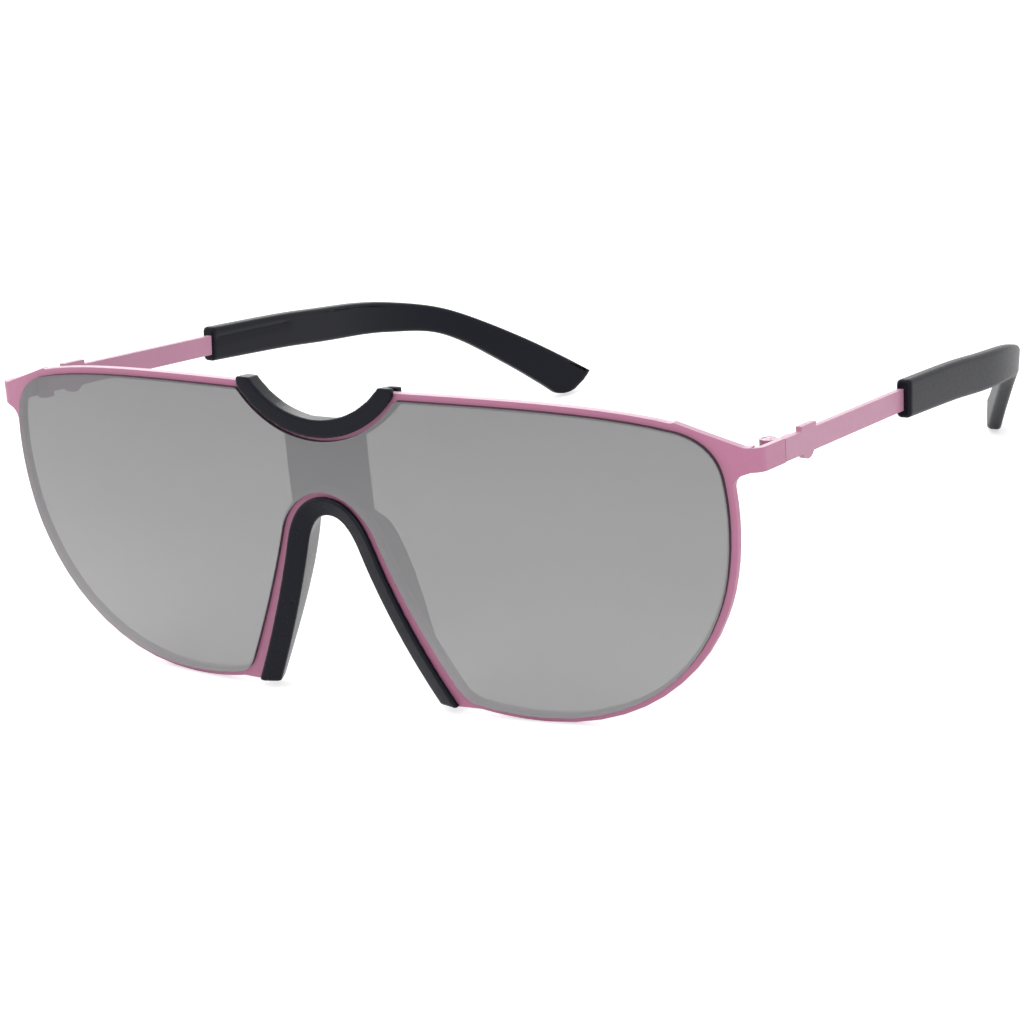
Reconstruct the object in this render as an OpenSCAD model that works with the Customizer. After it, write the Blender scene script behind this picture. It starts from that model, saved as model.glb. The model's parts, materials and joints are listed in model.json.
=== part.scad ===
// Shield sunglasses: one wide lens in a thin sheet-metal front, a soft moulded bridge
// and two folding temples with soft sleeves, standing on the front's lower rim and the
// sleeve tips. +X is the wearer's left, -Y the way the wearer looks, +Z up.

/* [Lens] */
// Radius of the lens's front face, the same in both directions
lens_front_r = 290; // [240:1:400]
// Width of the lens across both halves
lens_w = 137.0; // [125:0.1:150]
// Height of the lens from its top edge to its lowest point
lens_h = 52.3; // [46:0.1:60]
// Depth below the top edge of the lens's foremost place
dome_drop = 25.4; // [20:0.1:30]
// How far the lens stands in front of the metal sheet
lens_proud = 0.8; // [0.5:0.05:1.2]
// Width of the step that keeps the lens from going through the sheet
lens_ledge = 0.55; // [0.3:0.05:0.8]
// Radius of the round notch in the middle of the top edge
notch_r = 19.2; // [17:0.1:22]
// Depth of the notch below the top edge
notch_depth = 7.6; // [6:0.1:9]
// Rounding of the lens's sharp corners
lens_corner_r = 0.8; // [0.4:0.05:1.2]

/* [Front sheet] */
// Thickness of the metal sheet
sheet_t = 1.0; // [0.8:0.05:1.3]
// Width of the metal rim that shows outside the lens
rim_w = 1.0; // [0.7:0.05:1.6]
// Width of the metal strip round the notch, from the lens's edge inwards
notch_strip_w = 2.0; // [1.6:0.05:2.4]
// Height of the arm that carries the hinge
arm_h = 3.8; // [3.2:0.05:4.4]
// Depth of the joint's middle below the lens's top edge
joint_drop = 9.85; // [9:0.05:11]
// Outer radius of the bend from the front into the arm
bend_r = 3.0; // [2:0.1:3.6]
// How far the arms' outer faces stand outside the lens at the joint
arm_out = 4.6; // [4:0.05:5.2]
// Length of the arm from the front back to the joint
arm_run = 9.65; // [9:0.05:11]
// Radius of the fillet below the arm's root
arm_fillet_r = 2.2; // [1:0.1:2.6]
// How far the arm's lower edge drops towards the rim
arm_root_drop = 3.0; // [1:0.1:3.4]

/* [Bridge] */
// Width of the soft band over the notch
brow_band_w = 3.2; // [2.8:0.05:3.8]
// Metal edge left showing between the band and the lens
brow_margin = 0.65; // [0.4:0.05:0.9]
// Width of the whole band over the notch, from end to end
brow_w = 29.8; // [28:0.1:32]
// Height of the band's ends above the lens's top edge
brow_top = 2.4; // [2.2:0.05:3.2]
// Rounding of the band's corners
brow_corner_r = 0.9; // [0.4:0.05:1.1]
// How far the band's upper side falls away towards the rear
brow_fall = 0.7; // [0.4:0.05:1.2]
// How far the soft bridge stands in front of the metal sheet
lip_t = 1.1; // [0.8:0.05:1.5]
// Thickness of the bridge behind the metal sheet
flange_t = 1.25; // [1:0.05:1.6]
// Depth of the groove that grips the metal edge at the nose
groove_depth = 1.2; // [0.8:0.05:1.3]
// Width of the nose band
nose_band_w = 3.4; // [3:0.05:3.8]
// Step by which the nose band's front face falls away towards the nose
nose_fall = 1.1; // [0.6:0.05:1.3]
// Depth of the nose wings behind the lens's front face, at their deepest
wing_depth = 8.1; // [7:0.1:11]
// Thickness of the nose wings
wing_t = 1.3; // [1:0.05:1.5]
// How far the rear edge of a nose wing leans outwards
wing_flare = 2.2; // [1:0.1:2.6]
// Chamfer along the nose band's edges
soft_edge = 0.25; // [0.15:0.01:0.3]
// Width of the web behind the lens that joins the two bands
web_w = 15.4; // [12:0.1:18]
// Radius of the fillets where the web meets the nose wings
web_fillet_r = 2.4; // [1:0.1:3]
// Rounding of the nose legs' feet
foot_round = 0.35; // [0.2:0.01:0.4]

/* [Temples] */
// Height of the metal strip
strip_h = 3.6; // [3.2:0.05:4.6]
// Thickness of the metal strip
strip_t = 1.0; // [0.8:0.05:1.2]
// Slope of the temples against the front
temple_slope = 10.0; // [8:0.1:12]
// Angle by which each temple runs inwards
temple_splay = 2.5; // [1:0.1:4]
// Distance from the joint to the front end of the sleeve
sleeve_start = 47; // [38:0.1:52]
// Distance from the joint to the start of the ear bend
ear_bend_start = 80; // [60:0.5:90]
// Length of the ear bend along its middle
ear_bend_l = 45; // [36:0.5:70]
// Angle of the ear bend
ear_bend_angle = 34; // [24:0.5:44]
// How far the ear bend turns inwards instead of downwards
ear_bend_inward = 46.5; // [20:0.5:50]
// Straight run from the ear bend to the tip
tip_run = 26.5; // [16:0.5:40]
// Height of the sleeve at its front end
sleeve_h = 6.3; // [5.8:0.1:7.4]
// Thickness of the sleeve
sleeve_t = 2.6; // [2.5:0.05:3.4]
// How far the sleeve stands outside the strip's outer face at its front end
sleeve_out = 1.2; // [0.9:0.05:1.25]
// How far the sleeve has moved inwards at its tip
sleeve_shift = 0.75; // [0:0.05:1]
// Rounding of the sleeve's long edges
sleeve_edge_r = 0.9; // [0.5:0.05:1.1]
// How much further back the tip's upper corner reaches than its lower one
tip_slant = 5.2; // [0:0.1:6]
// Rounding of the tip's lower corner
tip_low_r = 2.4; // [1:0.1:4]
// Rounding of the tip's upper corner
tip_top_r = 1.2; // [0.6:0.1:2]
// Height of the metal core inside the sleeve
core_h = 2.8; // [2:0.05:3.2]
// Thickness of the metal core inside the sleeve
core_t = 0.7; // [0.6:0.05:0.75]
// Distance from the end of the core to the sleeve's tip
core_end_gap = 14; // [10:0.5:15]
// Height of the slit in the sleeve's inner face
slit_h = 0.4; // [0.3:0.05:0.8]
// Length of the slit in the sleeve's inner face
slit_l = 22; // [12:0.5:24]
// Depth of the slit in the sleeve's inner face
slit_depth = 0.25; // [0.15:0.05:0.3]
// Length of the tab above the strip
tab_l = 5.4; // [4:0.1:6]
// Height of the tab above the strip
tab_h = 0.8; // [0.6:0.05:1.6]
// Distance from the joint to the front of the tab
tab_start = 6.0; // [5.8:0.1:8]
// Length of the lug below the strip
lug_l = 4.0; // [3.6:0.1:6]
// How far the lug stands below the strip
lug_h = 1.0; // [0.6:0.05:1.3]
// Distance from the joint to the middle of the lug
lug_mid = 8.6; // [7:0.1:10]

/* [Hinge] */
// Radius of the hinge barrel
barrel_r = 1.4; // [1.3:0.05:1.5]
// Radius of the screw's shank
screw_r = 0.6; // [0.5:0.05:0.65]
// Radius of the screw's head
screw_head_r = 0.95; // [0.85:0.05:1.05]
// Height of the screw's head
screw_head_h = 0.55; // [0.45:0.05:0.65]
// Width of the screwdriver slot
driver_slot_w = 0.28; // [0.2:0.02:0.36]
// Thickness of the hinge leaves
leaf_t = 0.7; // [0.6:0.05:0.8]
// Length of the hinge leaves behind and in front of the axis
leaf_l = 5.0; // [4.5:0.1:5.2]
// Height of the hinge leaves
leaf_h = 2.9; // [2.4:0.05:3]
// Angle of the hinge axis against the front, top backwards
hinge_tilt = 6; // [4:0.5:9]
// Distance of the hinge axis in front of the joint
hinge_ahead = 0.7; // [0.5:0.05:0.9]

/* [Fits] */
// Clearance of the seated parts: lens in sheet, bridge on sheet, leaves on metal
seat_gap = 0.05; // [0.03:0.01:0.08]
// Clearance of the hinge screw in its barrel
screw_gap = 0.04; // [0.02:0.01:0.06]
// Gap between the barrel's knuckles
knuckle_gap = 0.06; // [0.04:0.01:0.1]
// Gap between the arm and the strip at the joint
joint_gap = 0.22; // [0.1:0.01:0.25]
// Clearance between the hinge's turning parts and what they pass
turn_gap = 0.12; // [0.08:0.01:0.2]

/* [Hidden] */

paint_pink = [0.76, 0.50, 0.62];
rubber_grey = [0.20, 0.21, 0.24];
hinge_steel = [0.72, 0.66, 0.69];
mirror_grey = [0.62, 0.62, 0.63];

// Outline of half the lens as Bezier stretches, from the notch corner round to the nose
// arch. Each point is a share of the half width and a share of the height.
lens_start_shares = [0.200, 0];
lens_stretch_shares = [
    [[0.481, 0.000], [0.729, -0.014], [0.889, -0.067]],
    [[0.936, -0.083], [0.982, -0.124], [0.993, -0.205]],
    [[1.009, -0.332], [1.000, -0.510], [0.956, -0.635]],
    [[0.893, -0.832], [0.743, -1.000], [0.510, -1.000]],
    [[0.452, -1.000], [0.394, -0.992], [0.343, -0.977]],
    [[0.316, -0.968], [0.302, -0.944], [0.291, -0.918]],
    [[0.230, -0.770], [0.168, -0.590], [0.129, -0.436]],
    [[0.112, -0.378], [0.062, -0.308], [0.000, -0.308]]
];
// Stretches that the metal sheet follows before it closes across the nose
outer_stretches = 5;
// Where the lens's lowest point lies, as a share of the half width
lobe_share = 0.51;

// Middle line of half the nose band from its top to the foot of a leg, in the same shares
nose_start_shares = [0, -0.3575];
nose_stretch_shares = [
    [[0.052, -0.3575], [0.080, -0.418], [0.096, -0.4876]],
    [[0.137, -0.658], [0.192, -0.830], [0.257, -0.992]]
];
// Share of the wing's depth that is reached at each share of the lens's height
wing_depth_shares = [[0.357, 0.50], [0.375, 0.55], [0.41, 0.78], [0.45, 0.93], [0.50, 1.00],
                     [0.60, 1.00], [0.70, 0.90], [0.78, 0.77], [0.86, 0.62], [0.95, 0.50],
                     [1.01, 0.47]];
// Upper and lower edges of the sleeve along its length as smooth curves: pull points in
// shares of the sleeve's height above and below the strip's middle
sleeve_top_shares = [0.525, 0.191, 0.318, 1.019, 0.214];
sleeve_low_shares = [0.468, 0.934, 0.511, -0.159, 0.867];
// Share of the lens's height from which the foot's section turns level
foot_turn_share = 0.90;
// Root of the arm's upper edge on the rim
arm_root_shares = [0.912, -0.0545];

curve_steps = 10;
ball_fn = 300;
wide_fn = 720;
small_fn = 48;

half_w = lens_w / 2;
ball = [0, lens_front_r, -dome_drop];
notch_mid = notch_r - notch_depth;
sheet_front = lens_proud;
sheet_back = sheet_front + sheet_t;
lip_front = sheet_front - lip_t;
flange_front = sheet_back + seat_gap;
flange_back = flange_front + flange_t;
web_front = flange_front + seat_gap;
web_back = flange_back - seat_gap;
brow_r = notch_r - brow_margin - brow_band_w;
brow_deep = flange_back - lip_front;

function bez(a, b, c, d, t) =
    a * pow(1 - t, 3) + b * 3 * t * pow(1 - t, 2) + c * 3 * t * t * (1 - t) + d * pow(t, 3);
function bez_way(a, b, c, d, t) =
    (b - a) * pow(1 - t, 2) + (c - b) * 2 * t * (1 - t) + (d - c) * t * t;
function five_point(p, t) =
    p[0] * pow(1 - t, 4) + 4 * p[1] * t * pow(1 - t, 3) + 6 * p[2] * pow(t * (1 - t), 2)
    + 4 * p[3] * pow(t, 3) * (1 - t) + p[4] * pow(t, 4);
function scaled(p) = [p[0] * half_w, p[1] * lens_h];
function flip(pts) = [for (i = [len(pts) - 1 : -1 : 0]) [-pts[i][0], pts[i][1]]];
function knot(start, stretches, i) = i == 0 ? start : stretches[i - 1][2];
function half_line(start, stretches, last) = [
    scaled(start),
    for (i = [0 : last - 1])
        for (k = [1 : curve_steps])
            scaled(bez(knot(start, stretches, i), stretches[i][0], stretches[i][1],
                       stretches[i][2], k / curve_steps))
];
// Distance of the lens's front face behind its foremost place, at a place in the front view
function face_y(x, z) = lens_front_r - sqrt(pow(lens_front_r, 2) - x * x - pow(z + dome_drop, 2));

// Stations along the whole nose band, each with a place, a normal towards the lens and a
// wing depth
nose_steps = 12;
function nose_station(i, k, side) =
    let (a = knot(nose_start_shares, nose_stretch_shares, i))
    let (s = nose_stretch_shares[i])
    let (p = scaled(bez(a, s[0], s[1], s[2], k / nose_steps)))
    let (w = scaled(bez_way(a, s[0], s[1], s[2], k / nose_steps)))
    let (way = w / norm(w))
    let (out = [-way[1], way[0]])
    let (height_share = -p[1] / lens_h)
    let (turn = min(1, max(0, (height_share - foot_turn_share) / (1 - foot_turn_share))))
    let (skewed = turn > 0 ? out - way * (turn * out[1] / way[1]) : out)
    [[side * p[0], p[1]], [side * skewed[0], skewed[1]],
     wing_depth * lookup(height_share, wing_depth_shares)];
nose_half = [for (i = [0 : len(nose_stretch_shares) - 1])
                 for (k = [(i == 0 ? 0 : 1) : nose_steps]) [i, k]];
nose_stations = [
    for (j = [len(nose_half) - 1 : -1 : 1]) nose_station(nose_half[j][0], nose_half[j][1], 1),
    for (j = [0 : len(nose_half) - 1]) nose_station(nose_half[j][0], nose_half[j][1], -1)
];
// The same stations with one more below each foot, where its corners are rounded off
foot_n = len(nose_stations) - 1;
function below_foot(st) = [st[0] - [0, foot_round], st[1], st[2]];
nose_rings = concat(
    [[below_foot(nose_stations[0]), foot_round]],
    [for (st = nose_stations) [st, 0]],
    [[below_foot(nose_stations[foot_n]), foot_round]]
);

// Section of the nose band: place across the band, then depth behind the lens's face
band_out = nose_band_w / 2;
groove_floor = band_out - groove_depth;
wall_lean = wing_flare / (wing_depth - lip_front - nose_fall);
function wall_at(depth) = -band_out + wall_lean * (depth - lip_front - nose_fall);
function nose_section(deep, trim) = [
    [band_out - trim, lip_front + trim + soft_edge],
    [band_out - trim - soft_edge, lip_front + trim],
    [soft_edge + trim - band_out, lip_front + nose_fall + trim - soft_edge / 2],
    [trim - band_out, lip_front + nose_fall + trim + soft_edge],
    [wall_at(deep - soft_edge) + trim, deep - trim - soft_edge],
    [wall_at(deep) + trim + soft_edge, deep - trim],
    [wall_at(deep) + wing_t - trim / 2 - soft_edge, deep - trim],
    [wall_at(deep - soft_edge) + wing_t - trim / 2, deep - trim - soft_edge],
    [wall_at(flange_back) + wing_t - trim / 2, flange_back - trim],
    [band_out - trim, flange_back - trim],
    [band_out - trim, flange_front],
    [groove_floor, flange_front],
    [groove_floor, sheet_front - seat_gap],
    [band_out - trim, sheet_front - seat_gap]
];
section_faces = [[12, 13, 0], [12, 0, 1], [12, 1, 2], [12, 2, 3], [12, 3, 11], [11, 3, 8],
                 [8, 3, 4], [8, 4, 7], [4, 5, 7], [5, 6, 7], [11, 8, 9], [11, 9, 10]];
section_n = len(nose_section(wing_depth, 0));
function nose_place(st, q) =
    let (x = st[0][0] + q[0] * st[1][0])
    let (z = st[0][1] + q[0] * st[1][1])
    [x, face_y(x, z) + q[1], z];
nose_points = [for (g = nose_rings) for (q = nose_section(g[0][2], g[1])) nose_place(g[0], q)];

// Triangles of a tube of rings with n points each; its ends are closed by cap triangles
function tube_faces(rings, n, cap) = concat(
    [for (t = cap) [t[2], t[1], t[0]]],
    [for (t = cap) [for (i = t) i + (rings - 1) * n]],
    [for (r = [0 : rings - 2]) for (i = [0 : n - 1])
        [r * n + i, r * n + (i + 1) % n, (r + 1) * n + i]],
    [for (r = [0 : rings - 2]) for (i = [0 : n - 1])
        [r * n + (i + 1) % n, (r + 1) * n + (i + 1) % n, (r + 1) * n + i]]
);
function fan(n) = [for (i = [1 : n - 2]) [0, i, i + 1]];

// Edge of the metal sheet at the nose, a clearance off the groove's floor, and the
// line that closes it below the feet
sheet_nose_line = [for (st = nose_stations) st[0] + (groove_floor + seat_gap) * st[1]];
below_feet = -lens_h - nose_band_w;
foot_x = nose_stations[0][0][0] + groove_floor;

// Where the arm leaves the front, seen from the front and from the side, and the plan of
// the bend from the front into the arm, about the middle of the lens's sphere
joint_x = half_w + arm_out;
sheet_r = lens_front_r - sheet_front;
splay_x = cos(temple_splay);
splay_y = sin(temple_splay);
tongue_x = joint_x - strip_t;
tongue_y = lens_front_r
    - sqrt(pow(sheet_r, 2) - pow(tongue_x, 2) - pow(dome_drop - joint_drop, 2));
joint_back = tongue_y + arm_run;
tongue_z = -joint_drop + arm_run * tan(temple_slope);
front_rear = tongue_y + arm_run / 2;
arm_inside = 2 * sheet_t + seat_gap;
function bend_depth(x) = sqrt(bend_r * bend_r - pow(bend_r - x, 2));
knee = [joint_x - arm_inside, tongue_z + arm_h / 2
        + (bend_depth(arm_inside) - bend_depth(sheet_t)) * tan(temple_slope)];
arm_reach = joint_x * splay_x + (joint_back - lens_front_r) * splay_y;
bend_reach = arm_reach - bend_r;
bend_away = sqrt(pow(sheet_r - bend_r, 2) - pow(bend_reach, 2));
bend_angle = atan2(bend_reach, bend_away);
arm_wrap = 16;

// Hinge axis against the strip's outer face
axis_in = strip_t + barrel_r + turn_gap;
knuckle_h = (arm_h - 2 * knuckle_gap) / 3;
leaf_x = axis_in - strip_t - seat_gap - leaf_t;
leaf_clear_r = barrel_r + turn_gap;
head_seat = arm_h / 2 - screw_head_h - 2 * seat_gap;

// Middle line of the sleeve and core in the temple's own frame: straight, then the bend,
// then straight again; the bend's plane leans inwards from the strip's face
bend_way = [-sin(ear_bend_inward), 0, -cos(ear_bend_inward)];
bend_axis = cross([0, 1, 0], bend_way);
bend_steps = 24;
step_l = ear_bend_l / bend_steps;
temple_l = ear_bend_start + ear_bend_l + tip_run;
function ease(t) = t * t * (3 - 2 * t);
function bend_at(s) =
    ear_bend_angle * ease(min(1, max(0, (s - ear_bend_start) / ear_bend_l)));
function heading(s) = [0, cos(bend_at(s)), 0] + bend_way * sin(bend_at(s));
function turned(v, a) =
    v * cos(a) + cross(bend_axis, v) * sin(a) + bend_axis * ((bend_axis * v) * (1 - cos(a)));
bend_line = [
    for (k = 0, p = [0, ear_bend_start, 0]; k <= bend_steps;
         p = p + step_l * heading(ear_bend_start + (k + 1 / 2) * step_l), k = k + 1)
        p
];
function temple_line(s) =
    s <= ear_bend_start ? [0, s, 0]
    : s >= ear_bend_start + ear_bend_l
        ? bend_line[bend_steps] + (s - ear_bend_start - ear_bend_l) * heading(s)
    : bend_line[round((s - ear_bend_start) / step_l)];
bend_stops = [for (k = [0 : bend_steps]) ear_bend_start + k * step_l];

// Rings of the sleeve: a rounded oblong whose upper and lower edges close in at the tip
corner_steps = 3;
tip_steps = 6;
tip_squash_share = 0.8;
function rounded_in(left, r) = left >= r ? 0 : r - sqrt(max(0, r * r - pow(r - left, 2)));
function oblong(x0, x1, z0, z1, r) = [
    for (c = [[x1 - r, z1 - r, 0], [x0 + r, z1 - r, 90], [x0 + r, z0 + r, 180],
              [x1 - r, z0 + r, 270]])
        for (k = [0 : corner_steps])
            let (a = c[2] + 90 * k / corner_steps)
            [c[0] + r * cos(a), 0, c[1] + r * sin(a)]
];
function ring(s, section) = [for (q = section) temple_line(s) + turned(q, bend_at(s))];
tip_stops = [for (k = [1 : tip_steps]) temple_l - tip_low_r * (1 - sin(85 * k / tip_steps))];
sleeve_stops = concat([sleeve_start], bend_stops, tip_stops);
function sleeve_top(u) = sleeve_h * five_point(sleeve_top_shares, u);
function sleeve_low(u) = -sleeve_h * five_point(sleeve_low_shares, u);
function sleeve_section(s) =
    let (left = temple_l - s)
    let (u = (s - sleeve_start) / (temple_l - sleeve_start))
    let (edge_r = sleeve_edge_r * min(1, (1 + 2 * left / tip_top_r) / 3))
    let (thin = rounded_in(left, tip_top_r) * tip_squash_share)
    let (outer = sleeve_out - sleeve_shift * u)
    let (slanted = tip_slant * max(0, 1 - left / tip_run))
    let (high = sleeve_top(u))
    let (low = sleeve_low(u))
    [for (q = oblong(outer - sleeve_t + thin, outer - thin,
                     low + rounded_in(left, tip_low_r) * tip_squash_share, high - thin, edge_r))
        q + [0, slanted * (q[2] - (high + low) / 2) / (high - low), 0]];
sleeve_points = [for (s = sleeve_stops) each ring(s, sleeve_section(s))];
sleeve_n = len(sleeve_section(0));

// Rings of the core and of the bore that it lies in
core_back = temple_l - core_end_gap;
core_front = sleeve_start - strip_t;
function core_section(grow) =
    let (x0 = -(strip_t + core_t) / 2 - grow)
    let (x1 = (core_t - strip_t) / 2 + grow)
    let (z1 = core_h / 2 + grow)
    [[x1, 0, z1], [x0, 0, z1], [x0, 0, -z1], [x1, 0, -z1]];
function core_stops(back) =
    concat([core_front], [for (s = bend_stops) if (s < back - step_l / 2) s], [back]);
function core_points(back, grow) = [for (s = core_stops(back)) each ring(s, core_section(grow))];

// Places of the model: the front leans until its lower rim and the sleeve tips stand level
joint_at = [joint_x, joint_back, -joint_drop];
function spin_x(p, a) = [p[0], p[1] * cos(a) - p[2] * sin(a), p[1] * sin(a) + p[2] * cos(a)];
function spin_z(p, a) = [p[0] * cos(a) - p[1] * sin(a), p[0] * sin(a) + p[1] * cos(a), p[2]];
function from_temple(p) = joint_at + spin_z(spin_x(p, -temple_slope), temple_splay);
sleeve_in_front = [for (p = sleeve_points) from_temple(p)];
tip_low_z = min([for (p = sleeve_in_front) p[2]]);
tip_low_y = max([for (p = sleeve_in_front) if (p[2] < tip_low_z + seat_gap) p[1]]);
lobe_z = -lens_h - rim_w;
lobe_y = face_y(lobe_share * half_w, lobe_z) + sheet_front;
front_lean = atan2(lobe_z - tip_low_z, tip_low_y - lobe_y);
sleeve_in_world = [for (p = sleeve_in_front) spin_x(p, front_lean)];
stand_h = -min(spin_x([0, lobe_y, lobe_z], front_lean)[2], min([for (p = sleeve_in_world) p[2]]));
rear_y = max([for (p = sleeve_in_world) p[1]]);
fore_y = min([for (p = nose_points) spin_x(p, front_lean)[1]]);

module place_front() {
    translate([0, -(fore_y + rear_y) / 2, stand_h])
        rotate([front_lean, 0, 0])
            children();
}

module on_side(side) {
    if (side > 0)
        children();
    else
        mirror([1, 0, 0])
            children();
}

// Frame of a left temple: strip's outer face at x = 0, joint at y = 0
module place_temple() {
    translate(joint_at)
        rotate([0, 0, temple_splay])
            rotate([-temple_slope, 0, 0])
                children();
}

// Frame of a left hinge: its axis along z, the joint's plane at y = hinge_ahead
module place_hinge() {
    translate(joint_at)
        rotate([0, 0, temple_splay])
            rotate([-hinge_tilt, 0, 0])
                translate([-axis_in, -hinge_ahead, 0])
                    children();
}

// The skin of the lens's sphere between two depths behind its front face
module ball_skin(front, back) {
    difference() {
        translate(ball)
            sphere(r = lens_front_r - front, $fn = ball_fn);
        translate(ball)
            sphere(r = lens_front_r - back, $fn = ball_fn);
    }
}

// A front view outline as a block that reaches back to a depth
module front_block(rear) {
    translate([0, rear, 0])
        rotate([90, 0, 0])
            linear_extrude(rear + joint_back)
                children();
}

module notch_disc(r) {
    translate([0, notch_mid])
        circle(r = r, $fn = wide_fn / 4);
}

module lens_outline() {
    half = half_line(lens_start_shares, lens_stretch_shares, len(lens_stretch_shares));
    offset(r = lens_corner_r, $fn = small_fn)
        offset(delta = -lens_corner_r)
            difference() {
                polygon(concat(half, flip(half)));
                notch_disc(notch_r);
            }
}

// Outline of the metal front with the roots of its arms, before the notch, the nose and
// the lens's opening are cut from it
module sheet_blank() {
    half = half_line(lens_start_shares, lens_stretch_shares, outer_stretches);
    root = scaled(arm_root_shares);
    offset(r = -arm_fillet_r, $fn = small_fn)
        offset(delta = arm_fillet_r)
            union() {
                offset(r = rim_w, $fn = small_fn)
                    polygon(concat(half, flip(half)));
                for (side = [-1, 1])
                    polygon([
                        [side * root[0], root[1]],
                        [side * knee[0], knee[1]],
                        [side * tongue_x, tongue_z + arm_h / 2],
                        [side * tongue_x, tongue_z - arm_h / 2],
                        [side * root[0], tongue_z - arm_h / 2 - arm_root_drop]
                    ]);
            }
}

module sheet_outline() {
    difference() {
        sheet_blank();
        notch_disc(notch_r - notch_strip_w);
        polygon(concat([[foot_x, below_feet]], sheet_nose_line, [[-foot_x, below_feet]]));
        offset(delta = -lens_ledge)
            lens_outline();
    }
}

// A wedge from a middle out to a length, between two angles
module wedge(length, from, to) {
    polygon([[0, 0], [length * cos(from), length * sin(from)],
             [length * cos(to), length * sin(to)]]);
}

// A flat ring with the sheet's thickness
module sheet_ring(r) {
    difference() {
        circle(r = r, $fn = wide_fn);
        circle(r = r - sheet_t, $fn = wide_fn);
    }
}

// Section through the sheet's dome, its bend and its arm: across, then along the axis
// about which the dome and the bend are both round
module bend_section() {
    rotate(bend_angle) {
        intersection() {
            sheet_ring(sheet_r);
            wedge(2 * sheet_r, -bend_angle - 2 * temple_splay, 0);
        }
        translate([sheet_r - bend_r, 0]) {
            intersection() {
                sheet_ring(bend_r);
                wedge(3 * bend_r, 0, 90 - bend_angle);
            }
            rotate(90 - bend_angle)
                translate([bend_r - sheet_t, 0])
                    square([sheet_t, joint_back]);
        }
    }
}

// Dome, bend and arm of the left half as one skin
module front_skin() {
    translate(ball)
        rotate([0, 0, temple_splay])
            rotate([0, 90, 0])
                rotate_extrude(angle = arm_wrap, start = 270 - arm_wrap / 2, $fn = wide_fn)
                    bend_section();
}

module joint_cut(face_at) {
    place_hinge()
        translate([-arm_h, face_at, -arm_h])
            cube([4 * arm_h, joint_back, 2 * arm_h]);
}

module front_half() {
    intersection() {
        front_skin();
        front_block(front_rear)
            intersection() {
                sheet_outline();
                translate([0, -2 * lens_h])
                    square([joint_x, 3 * lens_h]);
            }
    }
    difference() {
        intersection() {
            front_skin();
            place_temple()
                translate([-arm_inside, -joint_back, -arm_h / 2])
                    cube([bend_r + arm_h, 2 * joint_back, arm_h]);
        }
        joint_cut(hinge_ahead - joint_gap / 2);
    }
}

module front_frame() {
    color(paint_pink)
        place_front()
            for (side = [1, -1])
                on_side(side)
                    front_half();
}

module lens() {
    color(mirror_grey)
        place_front() {
            intersection() {
                ball_skin(0, sheet_front - seat_gap);
                front_block(joint_back)
                    lens_outline();
            }
            intersection() {
                ball_skin(sheet_front / 2, sheet_back);
                front_block(joint_back)
                    offset(delta = -lens_ledge - seat_gap)
                        lens_outline();
            }
        }
}

// Band over the notch with cut-off ends
module brow_outline() {
    offset(r = brow_corner_r, $fn = small_fn)
        offset(delta = -brow_corner_r)
            intersection() {
                difference() {
                    notch_disc(brow_r + brow_band_w);
                    notch_disc(brow_r);
                }
                translate([-brow_w / 2, -notch_r])
                    square([brow_w, notch_r + brow_top]);
            }
}

// What the band's upper side loses towards the rear: a cone in the notch and a slope
// over the two ends
module brow_slope() {
    translate([0, lip_front - brow_deep, notch_mid])
        rotate([-90, 0, 0])
            cylinder(r1 = brow_r - brow_fall, r2 = brow_r + 3 * brow_fall, h = 4 * brow_deep,
                     $fn = wide_fn / 4);
    translate([0, lip_front, brow_top])
        rotate([-atan(brow_fall / brow_deep), 0, 0])
            translate([-brow_w, -brow_deep, 0])
                cube([2 * brow_w, 4 * brow_deep, brow_deep]);
}

// Web between the two bands, with fillets into the nose band
module web_outline() {
    band_line = [for (st = nose_stations) st[0] + band_out * st[1]];
    nose_top_z = scaled(nose_start_shares)[1];
    intersection() {
        offset(r = -web_fillet_r, $fn = small_fn)
            offset(delta = web_fillet_r)
                union() {
                    translate([-web_w / 2, nose_top_z])
                        square([web_w, -nose_top_z - notch_depth + brow_band_w]);
                    polygon(concat([[foot_x, below_feet]], band_line, [[-foot_x, below_feet]]));
                }
        translate([-web_w, nose_top_z - nose_band_w])
            square([2 * web_w, -nose_top_z + nose_band_w]);
    }
}

module nose_gap_outline() {
    gap_line = [for (st = nose_stations) st[0] - (band_out - soft_edge) * st[1]];
    polygon(concat([[foot_x, below_feet]], gap_line, [[-foot_x, below_feet]]));
}

// One soft moulding: a grooved band over the notch, a grooved band round the nose with
// its two wings, and the web behind the lens that joins them
module bridge_moulding() {
    color(rubber_grey)
        place_front() {
            difference() {
                intersection() {
                    ball_skin(lip_front, flange_back);
                    front_block(joint_back)
                        brow_outline();
                }
                intersection() {
                    ball_skin(sheet_front - seat_gap, flange_front);
                    front_block(joint_back)
                        offset(delta = seat_gap)
                            difference() {
                                sheet_blank();
                                notch_disc(notch_r - notch_strip_w);
                            }
                }
                brow_slope();
            }
            intersection() {
                ball_skin(web_front, web_back);
                front_block(joint_back)
                    difference() {
                        web_outline();
                        nose_gap_outline();
                    }
            }
            polyhedron(nose_points, tube_faces(len(nose_rings), section_n, section_faces));
        }
}

module knuckle(low, high) {
    translate([0, 0, low])
        cylinder(r = barrel_r, h = high - low, $fn = small_fn);
}

module hinge_bore() {
    translate([0, 0, -arm_h])
        cylinder(r = screw_r + screw_gap, h = 2 * arm_h, $fn = small_fn);
}

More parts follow.
